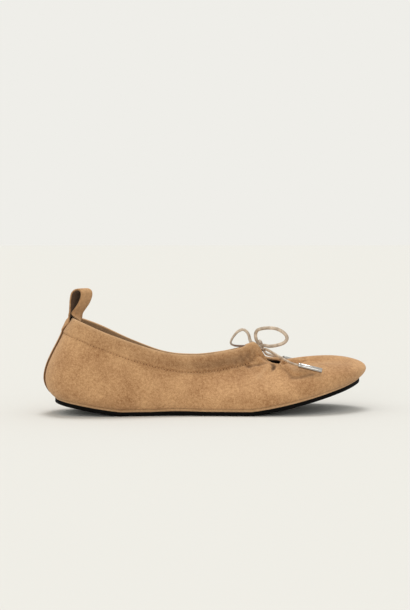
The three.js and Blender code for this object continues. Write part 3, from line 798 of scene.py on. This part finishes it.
def camel_suede():
    """Brushed split leather: a dull nap of short fibres that lies lighter or darker in soft patches where
    it was stroked, and is pale where light grazes it. The patches are about 22 mm wide and the tufts 2 mm.
    The fibres are drawn 0.7 mm wide, as real ones of under 0.1 mm are too fine to show."""
    material, tree, shader = finish(
        "camel_suede",
        Roughness=0.95,
        Specular_IOR_Level=0.15,
        Sheen_Weight=0.35,
        Sheen_Roughness=0.6,
        Sheen_Tint=linear("E8CDAE"),
    )
    place = node(tree, "ShaderNodeTexCoord").outputs["Object"]
    strokes, tufts, fibres = (
        node(tree, "ShaderNodeTexNoise", {"Vector": place, **noise})
        for noise in (
            {"Scale": cells(SUEDE_GRAIN["strokes"]), "Detail": 3, "Roughness": 0.55},
            {"Scale": cells(SUEDE_GRAIN["tufts"]), "Detail": 4, "Roughness": 0.65},
            {"Scale": cells(SUEDE_GRAIN["fibres"]), "Detail": 3, "Roughness": 0.7},
        )
    )
    mottle = node(
        tree, "ShaderNodeMath", {0: strokes.outputs["Fac"], 1: tufts.outputs["Fac"]}, operation="ADD"
    )
    nap = node(
        tree,
        "ShaderNodeMath",
        {0: fibres.outputs["Fac"], 1: 1.3, 2: mottle.outputs["Value"]},
        operation="MULTIPLY_ADD",
    )
    share = node(
        tree, "ShaderNodeMapRange", {"Value": nap.outputs["Value"], "From Min": 1.25, "From Max": 2.05}
    )
    tone = node(tree, "ShaderNodeValToRGB", {"Fac": share.outputs["Result"]})
    two_tones(tone, linear("8C603A"), linear("CFA375"))
    # Painted shade: an attribute takes the tone over to a dark brown in creases, seams, the casing and the
    # fold.
    shaded = node(tree, "ShaderNodeAttribute", attribute_name="shade")
    darker = node(
        tree,
        "ShaderNodeMix",
        {"Factor": shaded.outputs["Fac"], MIX_FIRST: tone.outputs["Color"], MIX_SECOND: linear("3A2316")},
        data_type="RGBA",
    )
    # Painted highlights: an attribute takes the tone over to a pale tan on ridges, the sole's lip and the
    # collar's edge.
    lit = node(tree, "ShaderNodeAttribute", attribute_name="painted_highlight")
    lighter = node(
        tree,
        "ShaderNodeMix",
        {"Factor": lit.outputs["Fac"], MIX_FIRST: darker.outputs[MIX_RESULT], MIX_SECOND: linear("D9B48C")},
        data_type="RGBA",
    )
    tree.links.new(lighter.outputs[MIX_RESULT], shader.inputs["Base Color"])
    bump = node(
        tree, "ShaderNodeBump", {"Height": nap.outputs["Value"], "Distance": 0.35 * MM, "Strength": 0.75}
    )
    tree.links.new(bump.outputs["Normal"], shader.inputs["Normal"])
    return material


suede = camel_suede()
upper = surface(
    "suede_upper",
    suede_points,
    round_columns=True,
    attributes={
        "shade": np.concatenate([padded_rows(shade, MARGIN_ROWS, CROWN_ROWS), fold_painted_shade]),
        "painted_highlight": padded_rows(painted_highlight, MARGIN_ROWS, CROWN_ROWS + FOLD_ROWS),
    },
)
upper.data.materials.append(suede)
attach(upper, "root")


# The lining. Thin pinkish brown leather with fine pores, glued smooth to the back of the suede, from under
# the collar's fold down to the insole. In the toe it goes over to near black, which is painted shade for
# the dark hollow seen through the throat.
LINING_ROWS = 60
LINING_COLUMNS = 320
LINING_LAP = 0.8
LINING_GAP = 0.05
TOE_SHADE = {"turn": 0.42, "fade": 0.03}
LINING_GRAIN = {"tone": 11.1, "pores": 0.714}


def lining_leather():
    """Vegetable-tanned lining skin: matt, with fine pores and slightly uneven in tone. In the toe its tone
    goes over to a near black, which is painted shade. The pores are drawn 0.7 mm apart, as real ones don't
    show."""
    material, tree, shader = finish("lining_leather", Roughness=0.62, Specular_IOR_Level=0.35)
    place = node(tree, "ShaderNodeTexCoord").outputs["Object"]
    patch = node(
        tree, "ShaderNodeTexNoise", {"Vector": place, "Scale": cells(LINING_GRAIN["tone"]), "Detail": 4}
    )
    tone = node(tree, "ShaderNodeValToRGB", {"Fac": patch.outputs["Fac"]})
    two_tones(tone, linear("5C3829"), linear("8A6453"), (0.3, 0.7))
    painted_toe_shade = node(tree, "ShaderNodeAttribute", attribute_name="painted_toe_shade")
    toe_shade_mix = node(
        tree,
        "ShaderNodeMix",
        {"Factor": painted_toe_shade.outputs["Fac"], MIX_FIRST: tone.outputs["Color"], MIX_SECOND: linear("120C09")},
        data_type="RGBA",
    )
    tree.links.new(toe_shade_mix.outputs[MIX_RESULT], shader.inputs["Base Color"])
    pores = node(tree, "ShaderNodeTexVoronoi", {"Vector": place, "Scale": cells(LINING_GRAIN["pores"])})
    bump = node(
        tree, "ShaderNodeBump", {"Height": pores.outputs["Distance"], "Distance": 0.08 * MM, "Strength": 0.6}
    )
    tree.links.new(bump.outputs["Normal"], shader.inputs["Normal"])
    return material


lining_turns, lining_ways = np.meshgrid(
    np.arange(LINING_COLUMNS) / LINING_COLUMNS,
    np.linspace(0, 2 - FOLD_DEPTH * LINING_LAP, LINING_ROWS),
)
inwards = skin_normal(lining_turns, lining_ways) * (WALL + LINING_GAP)
inner_face = upper_skin(lining_turns, lining_ways) - inwards
# Painted shade: the lining goes near black round the toe, where the hollow under the throat lies in shade.
toe_shade_share = np.clip((side_turn(lining_turns) - TOE_SHADE["turn"]) / TOE_SHADE["fade"], 0, 1)
lining = surface(
    "leather_lining", inner_face[::-1], round_columns=True, attributes={"painted_toe_shade": toe_shade_share[::-1]}
)
lining_skin = lining_leather()
lining.data.materials.append(lining_skin)
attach(lining, "root")
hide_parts("upper")
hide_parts("upper")


# The insole. A thin board with foam, covered in the lining's leather, cut to fit inside the upper and
# glued to the sole. Its top is even and rounded off at the edge.
INSOLE_THICKNESS = 2.4
INSOLE_ROUNDING = 0.8
INSOLE_BOTTOM_SHARES = (1, 0.5, 0)
INSOLE_TOP_SHARES = (0.1, 0.3, 0.5, 0.75, 1)
insole_bottom = SOLE_THICKNESS + CLEARANCE
insole_inset = WALL / np.sin(np.radians(around(mirrored(WALL_SECTIONS["foot_rise"]), turns))) + CLEARANCE
insole_top = insole_bottom + INSOLE_THICKNESS
insole_profile = [(insole_inset, insole_bottom, share) for share in INSOLE_BOTTOM_SHARES]
for angle in bevel_turn:
    inset = insole_inset + INSOLE_ROUNDING * (1 - math.cos(angle))
    insole_profile.append((inset, insole_top - INSOLE_ROUNDING * (1 - math.sin(angle)), 0))
insole_profile += [(insole_inset + INSOLE_ROUNDING, insole_top, share) for share in INSOLE_TOP_SHARES]
insole = surface("padded_insole", slab(insole_profile, turns)[::-1], round_columns=True)
insole.data.materials.append(lining_skin)
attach(insole, "root")
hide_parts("insole")


# The stitches. One row of tan polyester thread through casing and wall, each stitch sunk into the suede
# at both ends, with the needle's holes between them, slanted as a leather needle cuts them. The holes are
# dark beads: painted shade for the hollows.
STITCH_PITCH = 2.3
STITCH = {"length": 1.5, "width": 0.5, "height": 0.5, "sink": -0.05}
HOLE = {"length": 1.5, "width": 0.62, "height": 0.3, "sink": 0.02}
HOLE_SLANT = 60
BEAD_RINGS = 7
BEAD_SIDES = 8
THREAD_TWIST = 0.333


def closed_row(row):
    """A row of points with its first one again at the end."""
    return np.concatenate([row, row[:1]])


def along_seam(distance):
    """Points, directions and outward vectors on the stitch line at distances along it from the heel."""
    line, line_normal = (closed_row(rows[WALL_ROWS - 1]) for rows in (outer_face, normal))
    travel = travelled(line)
    wrapped = distance % travel[-1]
    point = at_distances(wrapped, travel, line)
    ahead = at_distances((wrapped + 0.5) % travel[-1], travel, line)
    return point, unit(ahead - point), unit(at_distances(wrapped, travel, line_normal))


def beads(name, centres, along, out, length, width, height, sink):
    """Copies of one ellipsoid, each laid along its own direction. The middle of each is sunk below the
    surface, or stands above it where the sink is negative."""
    polar = np.linspace(0, math.pi, BEAD_RINGS)[:, None]
    angle = np.linspace(0, 2 * math.pi, BEAD_SIDES, endpoint=False)
    shape = np.stack(
        [
            np.broadcast_to(np.cos(polar), (BEAD_RINGS, BEAD_SIDES)) * length / 2,
            np.sin(polar) * np.cos(angle) * width / 2,
            np.sin(polar) * np.sin(angle) * height / 2,
        ],
        -1,
    ).reshape(-1, 3)
    across = np.cross(out, along)
    axes = np.stack([along, across, out], 1)
    points = centres[:, None] - out[:, None] * sink + shape @ axes
    row = np.arange(BEAD_RINGS - 1)[:, None] * BEAD_SIDES
    column = np.arange(BEAD_SIDES)[None, :]
    next_column = (column + 1) % BEAD_SIDES
    corners = [row + column, row + next_column, row + BEAD_SIDES + next_column, row + BEAD_SIDES + column]
    quads = np.stack(corners, -1).reshape(-1, 4)
    faces = (np.arange(len(centres))[:, None, None] * len(shape) + quads).reshape(-1, 4)
    mesh = bpy.data.meshes.new(name)
    mesh.from_pydata((points.reshape(-1, 3) * MM).tolist(), [], faces.tolist())
    mesh.polygons.foreach_set("use_smooth", np.ones(len(mesh.polygons), dtype=bool))
    piece = bpy.data.objects.new(name, mesh)
    bpy.context.collection.objects.link(piece)
    return piece


def plain_finish(name, code, roughness):
    """A matt dyed finish with a fine uneven tone."""
    material, tree, shader = finish(name, Roughness=roughness, Specular_IOR_Level=0.3)
    place = node(tree, "ShaderNodeTexCoord").outputs["Object"]
    twist = node(tree, "ShaderNodeTexNoise", {"Vector": place, "Scale": cells(THREAD_TWIST)})
    tone = node(tree, "ShaderNodeValToRGB", {"Fac": twist.outputs["Fac"]})
    colour = np.array(linear(code)[:3])
    two_tones(tone, (*(colour * 0.8), 1), (*(colour * 1.2), 1))
    tree.links.new(tone.outputs["Color"], shader.inputs["Base Color"])
    return material


seam_length = travelled(closed_row(stitch_row))[-1]
stitch_places = np.arange(STITCH_PITCH, seam_length - STITCH_PITCH, STITCH_PITCH)
centres, along, out = along_seam(stitch_places)
thread = beads("seam_thread", centres, along, out, **STITCH)
thread.data.materials.append(plain_finish("tan_thread", "B98C5E", 0.7))
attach(thread, "root")
centres, along, out = along_seam(stitch_places + STITCH_PITCH / 2)
slant = math.radians(HOLE_SLANT)
slit = along * math.cos(slant) + np.cross(out, along) * math.sin(slant)
# Painted shade: each needle hole is a dark bead standing for the shade inside it.
holes = beads("needle_holes", centres, slit, out, **HOLE)
holes.data.materials.append(plain_finish("needle_hole_shade", "4C2F1C", 0.9))
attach(holes, "root")


# The heel strap. One strip of the same suede, sewn up the back seam, where it is slim. It widens up the
# casing, springs off as a twisted pull loop and goes down inside the heel, pressing on the collar's edge
# where the CAD keeps a gap. Its cut edges are painted brown, and darker on the heel as painted shadow.
# Its back is the darker flesh side, painted darker still as the shade inside the loop.
STRAP_WIDTH = 13
STRAP_THICKNESS = 1.5
STRAP_SLIM = 0.42
STRAP_SPRING = 2
STRAP_BEDDING = 0.1
STRAP_SKIVE = {"from": 0.1, "to": 0.3, "thinnest": 0.25}
STRAP_CORNERS = {"across": 0.35, "through": 0.6}
STRAP_EDGE = {"from": 0.93, "ways": [1, 1.7], "shades": [0.75, 0.22]}
STRAP_BACK = {"from": -0.8, "shade": 0.97}
OUTSIDE_WAYS = np.array([0.1, 0.17, 0.25, 0.35, 0.45, 0.55, 0.65, 0.75, 0.85, 0.93, 1, 1.08, 1.387, 1.693])
INSIDE_WAYS = np.array([1.387, 1.08, 1, 0.91])
LOOP_HEIGHT = 23
LOOP_ROUTE = {
    "along": [
        -0.02, 0.05, 0.09, 0.12, 0.16, 0.25, 0.36, 0.45, 0.48, 0.45, 0.38, 0.27, 0.17, 0.24, 0.24,
    ],
    "up": [0.08, 0.2, 0.38, 0.59, 0.79, 0.9, 0.93, 0.88, 0.77, 0.62, 0.46, 0.3, 0.14, -0.01, -0.13],
    "twist": [18, 29, 36, 41, 41, 41, 41, 41, 41, 41, 41, 41, 41, 17, 4],
}
STRAP_SIDES = 48
STRAP_REFINE = 8
STRAP_SHARES = np.linspace(-1, 1, 9)


def strap_on_skin(ways, widths, depths):
    """Middle lines across the strap where it lies on the skin, with the vectors out of the skin there."""
    step = np.full(len(ways), 0.002)
    chord = upper_skin(step, ways) - upper_skin(-step, ways)
    speed = np.linalg.norm(chord, axis=-1)[:, None] / (2 * step[0])
    strap_turns = -widths[:, None] * STRAP_SHARES / 2 / speed
    way_rows = np.broadcast_to(ways[:, None], strap_turns.shape)
    out = skin_normal(strap_turns, way_rows)
    height = np.where(way_rows > 1, CASING_STEP, 0) - depths
    return upper_skin(strap_turns, way_rows) + out * height[..., None], out


def strap_rows():
    """Lines across the strap's middle, from the sole up the back, round the loop and down inside, with the
    vectors out of the strap's outer face."""
    free = np.clip(OUTSIDE_WAYS - 1, 0, None)
    widths = STRAP_WIDTH * (STRAP_SLIM + (1 - STRAP_SLIM) * free ** 2 * (3 - 2 * free))
    spring = STRAP_SPRING * free[:, None] * (1 - STRAP_SHARES ** 2)
    outside, outside_face = strap_on_skin(OUTSIDE_WAYS, widths, STRAP_BEDDING - STRAP_THICKNESS / 2 - spring)
    top = collar_line(np.zeros(1))[0] + skin_normal(np.zeros(1), np.full(1, 2.0))[0] * CASING_STEP
    count = len(LOOP_ROUTE["up"])
    shares = np.array([LOOP_ROUTE["along"], np.zeros(count), LOOP_ROUTE["up"]]).T
    route = shares * LOOP_HEIGHT + top * [1, 0, 1]
    twist = np.radians(LOOP_ROUTE["twist"])
    across = np.stack([np.sin(twist), np.cos(twist), np.zeros(count)], -1)
    face = unit(np.cross(np.gradient(route, axis=0), across))
    loop = route[:, None] + across[:, None] * STRAP_SHARES[None, :, None] * STRAP_WIDTH / 2
    loop_face = np.broadcast_to(face[:, None], loop.shape)
    lined = np.where(INSIDE_WAYS > 1, WALL + CASING_STEP, WALL) + CLEARANCE + STRAP_THICKNESS / 2
    full = np.full(len(INSIDE_WAYS), STRAP_WIDTH)
    inside, inside_face = strap_on_skin(INSIDE_WAYS, full, lined[:, None])
    return np.concatenate([outside, loop, inside]), np.concatenate([outside_face, loop_face, -inside_face])


strap_middle, strap_outer = strap_rows()
strap_places = np.linspace(0, len(strap_middle) - 1, STRAP_REFINE * (len(strap_middle) - 1) + 1)
strap_middle = smooth(strap_middle, strap_places)
strap_outer = unit(smooth(strap_outer, strap_places))
section = np.linspace(0, 2 * math.pi, STRAP_SIDES, endpoint=False)
across_place = np.sign(np.cos(section)) * np.abs(np.cos(section)) ** STRAP_CORNERS["across"]
depth_place = np.sign(np.sin(section)) * np.abs(np.sin(section)) ** STRAP_CORNERS["through"]
column = (across_place + 1) * (len(STRAP_SHARES) - 1) / 2
middle = smooth(strap_middle.transpose(1, 0, 2), column).transpose(1, 0, 2)
outer = unit(smooth(strap_outer.transpose(1, 0, 2), column).transpose(1, 0, 2))
strap_way = np.interp(strap_places, np.arange(len(OUTSIDE_WAYS)), OUTSIDE_WAYS)
past_skive = np.interp(strap_way, [STRAP_SKIVE["from"], STRAP_SKIVE["to"]], [0, 1])
skive = STRAP_SKIVE["thinnest"] + (1 - STRAP_SKIVE["thinnest"]) * past_skive
height = depth_place[None, :] * skive[:, None] + skive[:, None] - 1
strap_points = middle + outer * height[..., None] * STRAP_THICKNESS / 2
# The cut edges' brown paint, darker where the strap lies on the heel: there it is painted shadow along them.
edge_paint_and_shadow = np.interp(strap_way, STRAP_EDGE["ways"], STRAP_EDGE["shades"])[:, None]
edge_shade = (np.abs(across_place) > STRAP_EDGE["from"]) * edge_paint_and_shadow
# The back is the darker flesh side, taken almost to dark brown as painted shade for the inside of the loop.
strap_shade = np.where(depth_place < STRAP_BACK["from"], STRAP_BACK["shade"], edge_shade)
strap_shade = np.concatenate([strap_shade[:1], strap_shade, strap_shade[-1:]])
ends = [strap_points[:1].mean(1, keepdims=True), strap_points[-1:].mean(1, keepdims=True)]
strap_points = np.concatenate(
    [np.repeat(ends[0], STRAP_SIDES, 1), strap_points, np.repeat(ends[1], STRAP_SIDES, 1)]
)
strap = surface("heel_strap", strap_points, round_columns=True, attributes={"shade": strap_shade})
strap.data.materials.append(suede)
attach(strap, "root")
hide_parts("pull_loop")
